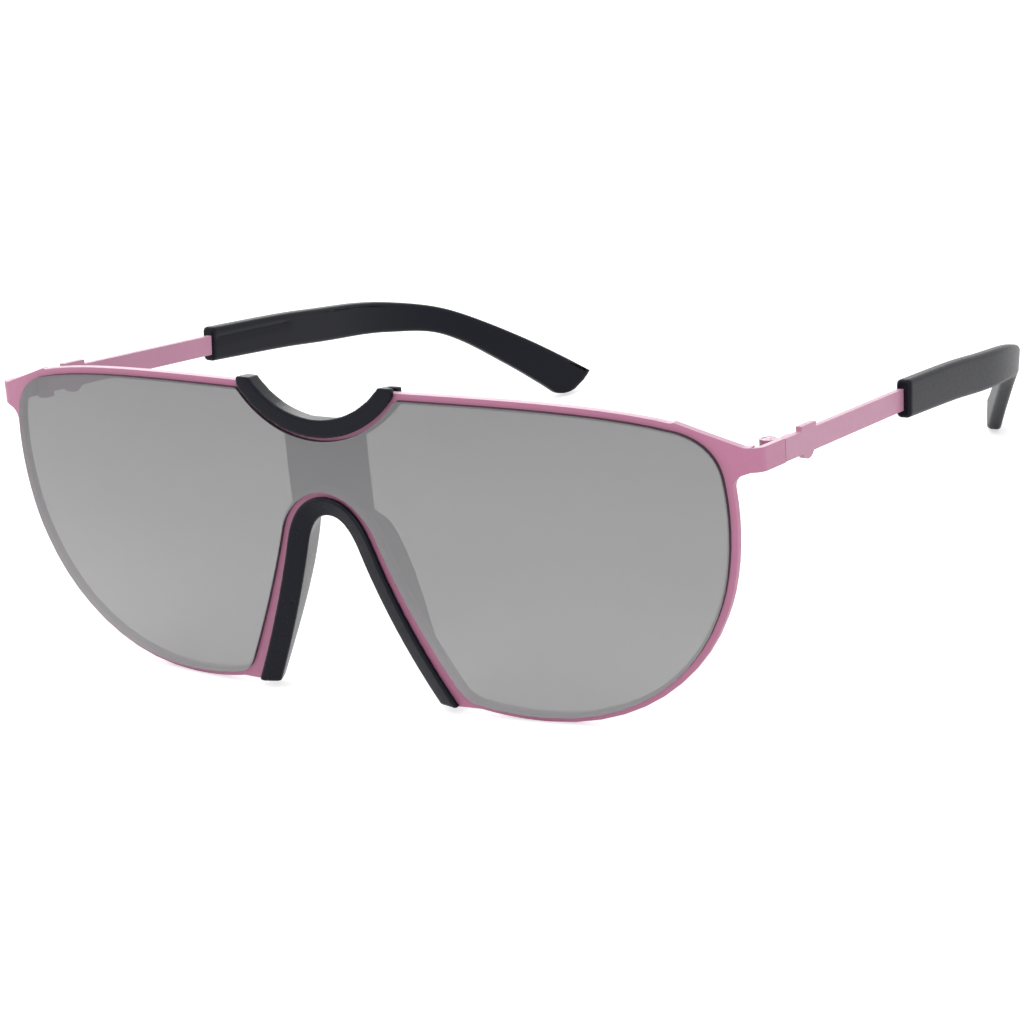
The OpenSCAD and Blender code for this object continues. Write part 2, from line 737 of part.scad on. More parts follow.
module front_hinge(side) {
    color(hinge_steel)
        place_front()
            on_side(side)
                place_hinge()
                    difference() {
                        union() {
                            knuckle(knuckle_h / 2 + knuckle_gap, arm_h / 2);
                            knuckle(-arm_h / 2, -knuckle_h / 2 - knuckle_gap);
                            translate([leaf_x, -leaf_l, -leaf_h / 2])
                                cube([leaf_t, leaf_l, leaf_h]);
                        }
                        translate([0, 0, -knuckle_h / 2 - knuckle_gap])
                            cylinder(r = leaf_clear_r, h = knuckle_h + 2 * knuckle_gap,
                                     $fn = small_fn);
                        hinge_bore();
                        translate([0, 0, head_seat])
                            cylinder(r = screw_head_r + screw_gap, h = arm_h, $fn = small_fn);
                    }
}

module temple_hinge(side) {
    color(hinge_steel)
        place_front()
            on_side(side)
                place_hinge()
                    difference() {
                        union() {
                            knuckle(-knuckle_h / 2, knuckle_h / 2);
                            translate([leaf_x, 0, -knuckle_h / 2])
                                cube([leaf_t, leaf_l, knuckle_h]);
                            difference() {
                                translate([leaf_x, 0, -leaf_h / 2])
                                    cube([leaf_t, leaf_l, leaf_h]);
                                translate([0, 0, -arm_h])
                                    cylinder(r = leaf_clear_r, h = 2 * arm_h,
                                             $fn = small_fn);
                            }
                        }
                        hinge_bore();
                    }
}

module hinge_screw(side) {
    color(hinge_steel)
        place_front()
            on_side(side)
                place_hinge()
                    difference() {
                        union() {
                            translate([0, 0, -arm_h / 2])
                                cylinder(r = screw_r, h = arm_h, $fn = small_fn);
                            translate([0, 0, head_seat + seat_gap])
                                cylinder(r = screw_head_r, h = screw_head_h, $fn = small_fn);
                        }
                        translate([-2 * screw_head_r, -driver_slot_w / 2,
                                   head_seat + seat_gap + screw_head_h / 2])
                            cube([4 * screw_head_r, driver_slot_w, screw_head_h]);
                    }
}

// Side view of the strip with its lug: along the strip, then up
module strip_outline() {
    lug_r = (pow(lug_l / 2, 2) + pow(lug_h, 2)) / (2 * lug_h);
    translate([-arm_h, -strip_h / 2])
        square([sleeve_start + arm_h - seat_gap, strip_h]);
    translate([tab_start, 0])
        square([tab_l, strip_h / 2 + tab_h]);
    intersection() {
        translate([lug_mid, -strip_h / 2 - lug_h + lug_r])
            circle(r = lug_r, $fn = small_fn);
        translate([lug_mid - lug_l, -strip_h / 2 - lug_h])
            square([2 * lug_l, strip_h / 2 + lug_h]);
    }
}

module temple(side) {
    color(paint_pink)
        place_front()
            on_side(side) {
                difference() {
                    place_temple()
                        rotate([90, 0, -90])
                            mirror([1, 0, 0])
                                linear_extrude(strip_t)
                                    strip_outline();
                    place_hinge()
                        translate([-arm_h, hinge_ahead + joint_gap / 2 - joint_back, -arm_h])
                            cube([4 * arm_h, joint_back, 2 * arm_h]);
                }
                place_temple()
                    polyhedron(core_points(core_back, 0),
                               tube_faces(len(core_stops(core_back)), 4, fan(4)));
            }
}

module sleeve(side) {
    bore_back = core_back + seat_gap;
    color(rubber_grey)
        place_front()
            on_side(side)
                place_temple()
                    difference() {
                        polyhedron(sleeve_points,
                                   tube_faces(len(sleeve_stops), sleeve_n, fan(sleeve_n)));
                        polyhedron(core_points(bore_back, seat_gap),
                                   tube_faces(len(core_stops(bore_back)), 4, fan(4)));
                        translate([sleeve_out - sleeve_t - slit_depth,
                                   sleeve_start + sleeve_edge_r, sleeve_h / 6])
                            cube([2 * slit_depth, slit_l, slit_h]);
                    }
}

front_frame();
lens();
bridge_moulding();
front_hinge(1);  // left_front_hinge
front_hinge(-1);  // right_front_hinge
temple_hinge(1);  // left_temple_hinge
temple_hinge(-1);  // right_temple_hinge
hinge_screw(1);  // left_hinge_screw
hinge_screw(-1);  // right_hinge_screw
temple(1);  // left_temple
temple(-1);  // right_temple
sleeve(1);  // left_sleeve
sleeve(-1);  // right_sleeve
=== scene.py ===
import json
import math
import bmesh
import bpy
from mathutils import Matrix, Vector


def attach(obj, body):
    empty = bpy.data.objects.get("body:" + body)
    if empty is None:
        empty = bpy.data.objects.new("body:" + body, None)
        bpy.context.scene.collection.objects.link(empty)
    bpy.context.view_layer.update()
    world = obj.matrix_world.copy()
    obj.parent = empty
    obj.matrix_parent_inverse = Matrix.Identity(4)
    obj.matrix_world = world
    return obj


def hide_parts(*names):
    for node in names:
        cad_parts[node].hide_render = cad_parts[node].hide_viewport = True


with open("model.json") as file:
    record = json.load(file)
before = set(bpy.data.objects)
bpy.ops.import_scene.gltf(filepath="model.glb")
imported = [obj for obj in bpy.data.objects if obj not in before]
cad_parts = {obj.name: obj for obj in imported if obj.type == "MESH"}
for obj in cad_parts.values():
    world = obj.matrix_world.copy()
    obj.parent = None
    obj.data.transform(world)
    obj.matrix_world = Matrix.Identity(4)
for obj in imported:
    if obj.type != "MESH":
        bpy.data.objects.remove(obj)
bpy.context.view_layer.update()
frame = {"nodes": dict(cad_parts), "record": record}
scene = bpy.context.scene
MM = 0.001

# ---------------------------------------------------------------- the front's own frame
# The glasses lean by this angle and shift from the front's own frame to the shared one
LEAN = math.radians(1.10011)
SHIFT = Vector((0, -0.0803632, 0.0532178))


def to_world(p):
    return Matrix.Rotation(LEAN, 3, "X") @ Vector(p) + SHIFT


def to_world_way(v):
    return Matrix.Rotation(LEAN, 3, "X") @ Vector(v)


def from_front(x, y, z):
    """A place in the front's own frame, given in millimetres."""
    return to_world((x * MM, y * MM, z * MM))


# ---------------------------------------------------------------- camera
# Direction towards the camera in the front's own frame, its roll, and its place in metres
AZ, EL, ROLL = (math.radians(a) for a in (33.319, 20.485, -6.899))
CAMERA_AT = (0.28823, -0.38434, 0.15595)
CAMERA_LENS_MM, SENSOR_MM = 112.504, 36
CLIP_NEAR, CLIP_FAR = 0.01, 50


def make_camera():
    back = Vector((math.sin(AZ) * math.cos(EL), -math.cos(AZ) * math.cos(EL), math.sin(EL)))
    side = Vector((math.cos(AZ), math.sin(AZ), 0))
    over = back.cross(side)
    cam_x = to_world_way(math.cos(ROLL) * side + math.sin(ROLL) * over)
    cam_y = to_world_way(math.cos(ROLL) * over - math.sin(ROLL) * side)
    cam_z = to_world_way(back)
    place = to_world(CAMERA_AT)
    data = bpy.data.cameras.new("camera")
    data.lens = CAMERA_LENS_MM
    data.sensor_width = SENSOR_MM
    data.clip_start = CLIP_NEAR
    data.clip_end = CLIP_FAR
    cam = bpy.data.objects.new("camera", data)
    scene.collection.objects.link(cam)
    cam.matrix_world = Matrix((
        (cam_x.x, cam_y.x, cam_z.x, place.x),
        (cam_x.y, cam_y.y, cam_z.y, place.y),
        (cam_x.z, cam_y.z, cam_z.z, place.z),
        (0, 0, 0, 1)))
    scene.camera = cam
    scene.view_settings.view_transform = "Standard"


make_camera()


# ---------------------------------------------------------------- node helpers
# Sockets of the colour Mix node, whose names are shared by its other data types
MIX_SHARE, MIX_A, MIX_B, MIX_RESULT = 0, 6, 7, 2
# The range that a noise mostly fills
NOISE_LOW, NOISE_HIGH = 0.3, 0.7
# True Normal's Z from which a face counts as looking up and gets the painted top highlight, and
# where it does so wholly
UP_FROM, UP_FULL = 0.80, 0.97
BEVEL_SAMPLES = 8


class Nodes:
    """A node tree whose nodes are added and joined in short calls."""

    def __init__(self, tree, output):
        self.tree = tree
        self.tree.nodes.clear()
        self.out = self.add(output)

    def add(self, kind, inputs=None, **values):
        node = self.tree.nodes.new(kind)
        for name, value in values.items():
            setattr(node, name, value)
        for name, value in (inputs or {}).items():
            node.inputs[name].default_value = value
        return node

    def join(self, a, b):
        self.tree.links.new(a, b)

    def calc(self, op, a, b, clamp=False):
        n = self.add("ShaderNodeMath", operation=op, use_clamp=clamp)
        for socket, v in zip(n.inputs, (a, b)):
            if isinstance(v, (int, float)):
                socket.default_value = v
            else:
                self.join(v, socket)
        return n.outputs[0]

    def map_range(self, v, a, b, c, d):
        n = self.add("ShaderNodeMapRange", {"From Min": a, "From Max": b,
                                            "To Min": c, "To Max": d})
        self.join(v, n.inputs["Value"])
        return n.outputs["Result"]

    def seen(self):
        """1 for what the camera sees directly, in gloss or through the lens, 0 for lighting."""
        path = self.add("ShaderNodeLightPath")
        some = self.calc("ADD", path.outputs["Is Camera Ray"], path.outputs["Is Glossy Ray"])
        return self.calc("ADD", some, path.outputs["Is Transmission Ray"], clamp=True)


class Mat(Nodes):
    """A material made of nodes."""

    def __init__(self, name):
        self.mat = bpy.data.materials.new(name)
        self.mat.use_nodes = True
        super().__init__(self.mat.node_tree, "ShaderNodeOutputMaterial")

    def coords(self):
        return self.add("ShaderNodeTexCoord").outputs["Object"]

    def noise(self, scale, detail=2.0, rough=0.5, where=None):
        n = self.add("ShaderNodeTexNoise", {"Scale": scale, "Detail": detail,
                                            "Roughness": rough})
        self.join(where or self.coords(), n.inputs["Vector"])
        return n.outputs["Fac"]

    def spread(self, noise, low, high):
        """The noise's usual range brought to a range of its own."""
        return self.map_range(noise, NOISE_LOW, NOISE_HIGH, low, high)

    def ramp(self, share, stops):
        n = self.add("ShaderNodeValToRGB")
        while len(n.color_ramp.elements) < len(stops):
            n.color_ramp.elements.new(0.5)
        for e, (pos, col) in zip(n.color_ramp.elements, stops):
            e.position = pos
            e.color = (*col, 1)
        self.join(share, n.inputs["Fac"])
        return n.outputs["Color"]

    def mix(self, share, a, b):
        n = self.add("ShaderNodeMix", data_type="RGBA")
        for socket, v in ((MIX_SHARE, share), (MIX_A, a), (MIX_B, b)):
            if isinstance(v, tuple):
                n.inputs[socket].default_value = (*v, 1)
            else:
                self.join(v, n.inputs[socket])
        return n.outputs[MIX_RESULT]

    def bevel(self, radius):
        n = self.add("ShaderNodeBevel", {"Radius": radius}, samples=BEVEL_SAMPLES)
        return n.outputs["Normal"]

    def edge(self, rounded, gain):
        """How far the rounded normal turns from the face's own: 1 along edges, 0 on faces."""
        geo = self.add("ShaderNodeNewGeometry")
        dot = self.add("ShaderNodeVectorMath", operation="DOT_PRODUCT")
        self.join(rounded, dot.inputs[0])
        self.join(geo.outputs["True Normal"], dot.inputs[1])
        away = self.calc("SUBTRACT", 1.0, dot.outputs["Value"])
        return self.calc("MULTIPLY", away, gain, clamp=True)

    def top_highlight_share(self, share):
        """Share of the painted highlight that goes on faces that look up, such as the sheet's cut
        top edge.
        """
        geo = self.add("ShaderNodeNewGeometry")
        split = self.add("ShaderNodeSeparateXYZ")
        self.join(geo.outputs["True Normal"], split.inputs[0])
        return self.map_range(split.outputs["Z"], UP_FROM, UP_FULL, 0, share)

    def bump(self, height, strength, distance, normal):
        n = self.add("ShaderNodeBump", {"Strength": strength, "Distance": distance})
        self.join(height, n.inputs["Height"])
        self.join(normal, n.inputs["Normal"])
        return n.outputs["Normal"]

    def principled(self, inputs):
        return self.add("ShaderNodeBsdfPrincipled", inputs)

    def finish(self, shader):
        self.join(shader.outputs[0], self.out.inputs["Surface"])
        return self.mat


def shaded(colour, share):
    return tuple(c * share for c in colour)


# ---------------------------------------------------------------- materials
# Noise scales are in waves per metre, radii and depths in metres. FINE is the roughness of
# the noises for peel and grain
FINE = 0.6
PAINT_DRIFT, PAINT_SPECK, PAINT_GLOSS, PAINT_PEEL = 55, 5200, 900, 2600
PAINT_EDGE_R, HINGE_EDGE_R = 0.00012, 0.00008
DRIFT_SHADE, FLECK_FROM, FLECK_FULL, FLECK_SHARE = 0.94, 0.6, 0.85, 0.18
# Gain of the edge mask, and the edges' lightening: partly thin, worn paint, partly a painted
# highlight where edges catch the light
EDGE_GAIN, EDGE_WEAR_AND_HIGHLIGHT = 5.0, 0.35
PEEL_STRENGTH, PEEL_DEPTH = 0.25, 0.00002
# Painted highlight: a lighter colour on the sheet's cut edge where it looks up, standing in for
# the light from above, by share
TOP_HIGHLIGHT = (0.90, 0.76, 0.83)
FRONT_TOP_HIGHLIGHT, TEMPLE_TOP_HIGHLIGHT, HINGE_TOP_HIGHLIGHT = 0.45, 0.15, 0.30
RUBBER_DRIFT, RUBBER_SPOTS, RUBBER_GLOSS, RUBBER_GRAIN = 60, 5200, 1800, 3800
RUBBER_SHADE, SPOT_FROM, SPOT_FULL, SPOT_SHARE = 1.12, 0.68, 0.85, 0.3
RUBBER_EDGE_R, GRAIN_STRENGTH, GRAIN_DEPTH = 0.00035, 0.35, 0.00002
DUST = (0.012, 0.013, 0.019)
TOOL_MARKS, MARK_SHADE, MARK_STRENGTH, MARK_DEPTH = 3000, 0.85, 0.2, 0.00001
SCREW_EDGE_R = 0.00008


def paint(name, colour, light, rough, top, rounding=PAINT_EDGE_R):
    """Satin paint on thin metal: fine orange peel, slight tint drift, lighter along edges (partly
    thin paint, partly a painted highlight) and a painted highlight on faces that look up.
    """
    m = Mat(name)
    rounded = m.bevel(rounding)
    drift = m.noise(PAINT_DRIFT, 3)
    speck = m.noise(PAINT_SPECK, 2)
    tint = m.mix(m.spread(drift, 0, 1), colour, shaded(colour, DRIFT_SHADE))
    fleck = m.mix(m.map_range(speck, FLECK_FROM, FLECK_FULL, 0, FLECK_SHARE), tint, light)
    # Lighter along edges: partly worn paint, partly a painted highlight
    worn_and_highlit = m.mix(m.calc("MULTIPLY", m.edge(rounded, EDGE_GAIN), EDGE_WEAR_AND_HIGHLIGHT), fleck, light)
    # Painted highlight on faces that look up, as if lit from above
    worn_and_highlit = m.mix(m.top_highlight_share(top), worn_and_highlit, TOP_HIGHLIGHT)
    b = m.principled({"Roughness": rough, "Specular IOR Level": 0.5, "Coat Weight": 0.15,
                      "Coat Roughness": 0.3})
    m.join(worn_and_highlit, b.inputs["Base Color"])
    gloss = m.spread(m.noise(PAINT_GLOSS, 2), rough - 0.05, rough + 0.06)
    m.join(gloss, b.inputs["Roughness"])
    peel = m.bump(m.noise(PAINT_PEEL, 2, FINE), PEEL_STRENGTH, PEEL_DEPTH, rounded)
    m.join(peel, b.inputs["Normal"])
    return m.finish(b)


def rubber(name, colour, rough, specular, sheen):
    """Moulded soft plastic: matte grain, faint dust, softly rounded edges."""
    m = Mat(name)
    rounded = m.bevel(RUBBER_EDGE_R)
    drift = m.spread(m.noise(RUBBER_DRIFT, 3, 0.5), 0, 1)
    tint = m.mix(drift, colour, shaded(colour, RUBBER_SHADE))
    spots = m.map_range(m.noise(RUBBER_SPOTS, 2), SPOT_FROM, SPOT_FULL, 0, SPOT_SHARE)
    dusty = m.mix(spots, tint, DUST)
    b = m.principled({"Roughness": rough, "Specular IOR Level": specular,
                      "Sheen Weight": sheen, "Sheen Roughness": 0.3})
    m.join(dusty, b.inputs["Base Color"])
    gloss = m.spread(m.noise(RUBBER_GLOSS, 3), rough - 0.03, rough + 0.04)
    m.join(gloss, b.inputs["Roughness"])
    grain = m.bump(m.noise(RUBBER_GRAIN, 3, FINE), GRAIN_STRENGTH, GRAIN_DEPTH, rounded)
    m.join(grain, b.inputs["Normal"])
    return m.finish(b)


def metal(name, colour, rough):
    """Small turned part with fine tool marks."""
    m = Mat(name)
    rounded = m.bevel(SCREW_EDGE_R)
    marks = m.noise(TOOL_MARKS, 3)
    b = m.principled({"Metallic": 1.0, "Roughness": rough})
    tint = m.mix(m.spread(marks, 0, 1), colour, shaded(colour, MARK_SHADE))
    m.join(tint, b.inputs["Base Color"])
    m.join(m.spread(marks, rough - 0.05, rough + 0.1), b.inputs["Roughness"])
    m.join(m.bump(marks, MARK_STRENGTH, MARK_DEPTH, rounded), b.inputs["Normal"])
    return m.finish(b)


# The lens is a cut from a hollow ball. The coating starts just under its outer face
BALL = to_world((0, 0.290, -0.0254))
COAT_FROM, COAT_FULL = 0.28985, 0.28995
LENS_LOW, LENS_HIGH = 0.002, 0.053
# Colour of the coating from the lens's foot to its top
COAT_STOPS = [(0.0, (0.366, 0.364, 0.369)), (0.5, (0.270, 0.269, 0.274)),
              (1.0, (0.204, 0.203, 0.208))]
LENS_CLOUD, LENS_GRAIN, CLOUD_SHARE = 35, 7000, 0.02
COAT_ALPHA, SMOKE_ALPHA = 0.76, 0.62


def mirror_lens():
    """Mirror coating on the dome's front face, smoke tint through the back and the edge."""
    m = Mat("mirror_lens")
    where = m.coords()
    reach = m.add("ShaderNodeVectorMath", operation="DISTANCE")
    m.join(where, reach.inputs[0])
    reach.inputs[1].default_value = tuple(BALL)
    front = m.map_range(reach.outputs["Value"], COAT_FROM, COAT_FULL, 0, 1)
    split = m.add("ShaderNodeSeparateXYZ")
    m.join(where, split.inputs[0])
    up = m.map_range(split.outputs["Z"], LENS_LOW, LENS_HIGH, 0, 1)
    cloud = m.spread(m.noise(LENS_CLOUD, 3, 0.5, where), -CLOUD_SHARE, CLOUD_SHARE)
    coat = m.ramp(m.calc("ADD", up, cloud), COAT_STOPS)
    grain = m.noise(LENS_GRAIN, 2, 0.5, where)
    coated = m.principled({"Metallic": 1.0, "Roughness": 0.09, "Alpha": COAT_ALPHA})
    m.join(coat, coated.inputs["Base Color"])
    m.join(m.spread(grain, 0.06, 0.14), coated.inputs["Roughness"])
    smoke = m.principled({"Base Color": (0.05, 0.05, 0.052, 1), "Roughness": 0.08,
                          "Specular IOR Level": 0.35, "Alpha": SMOKE_ALPHA})
    m.join(m.spread(grain, 0.06, 0.12), smoke.inputs["Roughness"])
    both = m.add("ShaderNodeMixShader")
    m.join(front, both.inputs[0])
    m.join(smoke.outputs[0], both.inputs[1])
    m.join(coated.outputs[0], both.inputs[2])
    return m.finish(both)


MATS = {
    "paint": paint("pink_paint", (0.53, 0.195, 0.325), (0.80, 0.52, 0.65), 0.42, FRONT_TOP_HIGHLIGHT),
    # The temples' paint is the front's pink made lighter and paler: a painted sheen from the side
    # light, not a different paint
    "temple_paint": paint("pink_paint_temple_painted_sheen", (0.57, 0.255, 0.385), (0.82, 0.56, 0.68), 0.42,
                          TEMPLE_TOP_HIGHLIGHT),
    "rubber": rubber("bridge_rubber", (0.0055, 0.006, 0.0115), 0.24, 0.16, 0.10),
    "sleeve_rubber": rubber("sleeve_rubber", (0.0055, 0.006, 0.0110), 0.36, 0.15, 0.05),
    "hinge_metal": paint("hinge_paint", (0.50, 0.22, 0.33), (0.75, 0.50, 0.62), 0.38,
                         HINGE_TOP_HIGHLIGHT, HINGE_EDGE_R),
    "screw_metal": metal("screw_metal", (0.62, 0.50, 0.56), 0.32),
    "mirror_lens": mirror_lens(),
}
slots = {s["node"]: s["material_slot"] for s in frame["record"]["subparts"]}
for name, obj in frame["nodes"].items():
    obj.data.materials.clear()
    obj.data.materials.append(MATS[slots[name]])


# ---------------------------------------------------------------- soft sleeves
# The same sizes as the part's, in millimetres: a smooth moulded tube on a bent middle line
JOINT = (73.1, 20.014, -9.85)
SLOPE, SPLAY = math.radians(10.0), math.radians(2.5)
START, BEND_START, BEND_L, TIP_RUN = 47.0, 80.0, 45.0, 26.5
BEND_ANGLE, BEND_INWARD = math.radians(34.0), math.radians(46.5)
SLEEVE_T, SLEEVE_OUT, SLEEVE_SHIFT = 2.6, 1.2, 0.75
# Heights of the sleeve's edges above and below that line, at places along it
STATIONS = (47.0, 69.0, 87.0, 102.0, 117.0, 134.0, 151.5)
TOP_HEIGHTS = (3.35, 3.0, 2.25, 2.5, 3.65, 3.35, 1.65)
LOW_HEIGHTS = (3.05, 3.6, 4.35, 3.5, 1.5, 3.0, 5.7)
# The tip's slant and bulge, its corner radii, and how much of a radius a corner closes in
TIP_SLANT, TIP_BULGE, TIP_LOW_R, TIP_TOP_R = 4.6, 0.8, 3.0, 1.2
TIP_CLOSE_Z, TIP_CLOSE_X = 0.8, 0.7
TEMPLE_L = BEND_START + BEND_L + TIP_RUN
SKIN_SHORTER = 0.5
SKIN_END = TEMPLE_L - SKIN_SHORTER
BEND_WAY = Vector((-math.sin(BEND_INWARD), 0, -math.cos(BEND_INWARD)))
BEND_AXIS = Vector((0, 1, 0)).cross(BEND_WAY)
LINE_STEP, ROW_STEP = 0.25, 1.1
# The section's corners: largest and smallest radius, points in a corner, degrees between them
CORNER_R, CORNER_LEAST_R, CORNER_POINTS, CORNER_TURN = 0.85, 0.2, 7, 15
# A corner stays this far off the section's middle, and its radius shrinks by this much of an inset
CORNER_SPARE, CORNER_SHRINK = 0.02, 0.6
# Rounding of the front end: distance from the end and how far the section is drawn in
FRONT_ROUNDING = ((0, 0.5), (0.06, 0.28), (0.22, 0.1), (0.5, 0))
FIRST_ROW, TIP_ROWS, TIP_LAST_TURN = 1.2, 10, 88
# Where the even rows stop and the tip's own rows start, in radii of its lower corner
ROWS_STOP, TIP_ROWS_START = 1.2, 1.05
# The slit in the inner side: its depth, its run along the sleeve, and its edges' heights
SLIT_DEPTH, SLIT_RUN = 0.22, (1.0, 23)
SLIT_TOP, SLIT_FLOOR_TOP, SLIT_FLOOR_LOW, SLIT_LOW_EDGE = 1.62, 1.5, 1.05, 0.93
# Height of one more point on the inner side and on the outer side
INNER_Z, OUTER_Z = -0.6, 0


def through(heights, s):
    """A smooth curve through the heights at the stations."""
    last = len(STATIONS) - 1
    i = max(k for k in range(last) if k == 0 or STATIONS[k] <= s)

    def slope(k):
        a, b = max(k - 1, 0), min(k + 1, last)
        return (heights[b] - heights[a]) / (STATIONS[b] - STATIONS[a])
    run = STATIONS[i + 1] - STATIONS[i]
    u = (s - STATIONS[i]) / run
    rise = u * u * (3 - 2 * u)
    return (heights[i] + (heights[i + 1] - heights[i]) * rise
            + slope(i) * run * u * (1 - u) ** 2 - slope(i + 1) * run * u * u * (1 - u))


def bend_at(s):
    t = min(1.0, max(0.0, (s - BEND_START) / BEND_L))
    return BEND_ANGLE * t * t * (3 - 2 * t)


def heading(s):
    return Vector((0, math.cos(bend_at(s)), 0)) + BEND_WAY * math.sin(bend_at(s))


def temple_line():
    """Places along the middle line, a step apart."""
    p, line = Vector((0, 0, 0)), [Vector((0, 0, 0))]
    while len(line) * LINE_STEP <= TEMPLE_L + LINE_STEP:
        p = p + LINE_STEP * heading((len(line) - 0.5) * LINE_STEP)
        line.append(p.copy())
    return line


def from_temple(p, sign):
    q = Matrix.Rotation(-SLOPE, 3, "X") @ p
    q = Matrix.Rotation(SPLAY, 3, "Z") @ q + Vector(JOINT)
    return to_world(Vector((sign * q.x, q.y, q.z)) * MM)


def rounded_in(left, r):
    """How far a corner of radius r has closed in at a distance from the end."""
    return 0 if left >= r else r - math.sqrt(max(0, r * r - (r - left) ** 2))


def sleeve_ring(s, inset, slit):
    """Rounded oblong with a shallow slit in its inner side, drawn in by an inset."""
    u = (s - START) / (TEMPLE_L - START)
    left = SKIN_END - s
    high = through(TOP_HEIGHTS, s)
    low = -through(LOW_HEIGHTS, s)
    mid, tall = (high + low) / 2, high - low
    x1 = SLEEVE_OUT - SLEEVE_SHIFT * u - inset
    x0 = x1 - SLEEVE_T + 2 * inset
    drawn_low = rounded_in(left, TIP_LOW_R)
    drawn_top = rounded_in(left, TIP_TOP_R)
    z1, z0 = high - inset - TIP_CLOSE_Z * drawn_top, low + inset + TIP_CLOSE_Z * drawn_low
    x1, x0 = x1 - TIP_CLOSE_X * drawn_top, x0 + TIP_CLOSE_X * drawn_top
    r = max(CORNER_LEAST_R,
            min(CORNER_R, (x1 - x0) / 2 - CORNER_SPARE) - inset * CORNER_SHRINK)
    pts = []
    for cx, cz, turn in ((x1 - r, z1 - r, 0), (x0 + r, z1 - r, 90), (x0 + r, z0 + r, 180),
                         (x1 - r, z0 + r, 270)):
        for k in range(CORNER_POINTS):
            a = math.radians(turn + CORNER_TURN * k)
            pts.append((cx + r * math.cos(a), cz + r * math.sin(a)))
        if turn == 90:
            pts += [(x0, SLIT_TOP), (x0 + slit, SLIT_FLOOR_TOP), (x0 + slit, SLIT_FLOOR_LOW),
                    (x0, SLIT_LOW_EDGE), (x0, INNER_Z)]
        if turn == 270:
            pts.append((x1, OUTER_Z))
    slant = TIP_SLANT * max(0, 1 - left / TIP_RUN)
    bulge = TIP_BULGE * max(0, 1 - left / (2 * TIP_LOW_R))
    return [Vector((x, slant * (z - mid) / tall - bulge * (2 * (z - mid) / tall) ** 2, z))
            for x, z in pts]


def sleeve_stops():
    """Places of the sleeve's rings along the middle line, each with its inset."""
    stops = [(START + run, inset) for run, inset in FRONT_ROUNDING]
    s = START + FIRST_ROW
    while s < SKIN_END - ROWS_STOP * TIP_LOW_R:
        stops.append((s, 0))
        s += ROW_STEP
    for k in range(TIP_ROWS):
        turn = math.radians(TIP_LAST_TURN * k / (TIP_ROWS - 1))
        stops.append((SKIN_END - TIP_ROWS_START * TIP_LOW_R * (1 - math.sin(turn)), 0))
    return stops


def make_sleeve(name, sign, body):
    line, stops = temple_line(), sleeve_stops()
    verts, faces, n = [], [], 0
    for s, inset in stops:
        near = int(round(s / LINE_STEP))
        at = line[near] + heading(s) * (s - near * LINE_STEP)
        slit = SLIT_DEPTH if START + SLIT_RUN[0] < s < START + SLIT_RUN[1] else 0
        turn = Matrix.Rotation(bend_at(s), 3, BEND_AXIS)
        ring = [from_temple(at + turn @ q, sign) for q in sleeve_ring(s, inset, slit)]
        n = len(ring)
        verts += ring
    rows = len(stops)
    for r in range(rows - 1):
        for i in range(n):
            j = (i + 1) % n
            quad = (r * n + i, r * n + j, (r + 1) * n + j, (r + 1) * n + i)
            faces.append(quad if sign < 0 else quad[::-1])
    front, rear = tuple(range(n)), tuple(range((rows - 1) * n, rows * n))
    faces.append(front if sign > 0 else front[::-1])
    faces.append(rear[::-1] if sign > 0 else rear)
    mesh = bpy.data.meshes.new(name)
    mesh.from_pydata([tuple(v) for v in verts], [], faces)
    mesh.validate()
    for p in mesh.polygons:
        p.use_smooth = len(p.vertices) == 4
    piece = bpy.data.objects.new(name, mesh)
    scene.collection.objects.link(piece)
    mesh.materials.append(MATS["sleeve_rubber"])
    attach(piece, body)
    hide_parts(name.replace("_skin", ""))


make_sleeve("left_sleeve_skin", 1, "left_arm")
make_sleeve("right_sleeve_skin", -1, "right_arm")


# ---------------------------------------------------------------- soft bridge
# The moulding as it leaves its mould: edges rounded over, the groove open at the band's two
# ends, and a small pit beside the nose. Places are in millimetres in the front's own frame
GRAIN_STEP = 0.20
SLOT_X, SLOT_Y, SLOT_LOW = (13.7, 16.5), (2.45, 3.45), 0.3
# Side and upper end of each opening: the left one runs through the band's top
SLOT_TOPS = ((1, 3.6), (-1, 1.3))
PIT_AT, PIT_R = (-9.66, 0.84, -36.57), 0.42
WELD = 1e-7
SOFTEN_SHARE, SOFTEN_TIMES, KEPT_FACES = 0.5, 5, 0.35


def make_openings():
    """Blocks that open the groove at both ends of the brow band, and a ball for the pit."""
    bm = bmesh.new()
    for sign, top in SLOT_TOPS:
        block = bmesh.ops.create_cube(bm, size=1)["verts"]
        for v in block:
            x, y, z = (a[0] + (a[1] - a[0]) * (c + 0.5)
                       for a, c in zip((SLOT_X, SLOT_Y, (SLOT_LOW, top)), v.co))
            v.co = from_front(sign * x, y, z)
    pit = bmesh.ops.create_icosphere(bm, subdivisions=3, radius=PIT_R * MM)["verts"]
    bmesh.ops.translate(bm, verts=pit, vec=from_front(*PIT_AT))
    bmesh.ops.recalc_face_normals(bm, faces=bm.faces)
    mesh = bpy.data.meshes.new("openings")
    bm.to_mesh(mesh)
    bm.free()
    tool = bpy.data.objects.new("openings", mesh)
    scene.collection.objects.link(tool)
    return tool


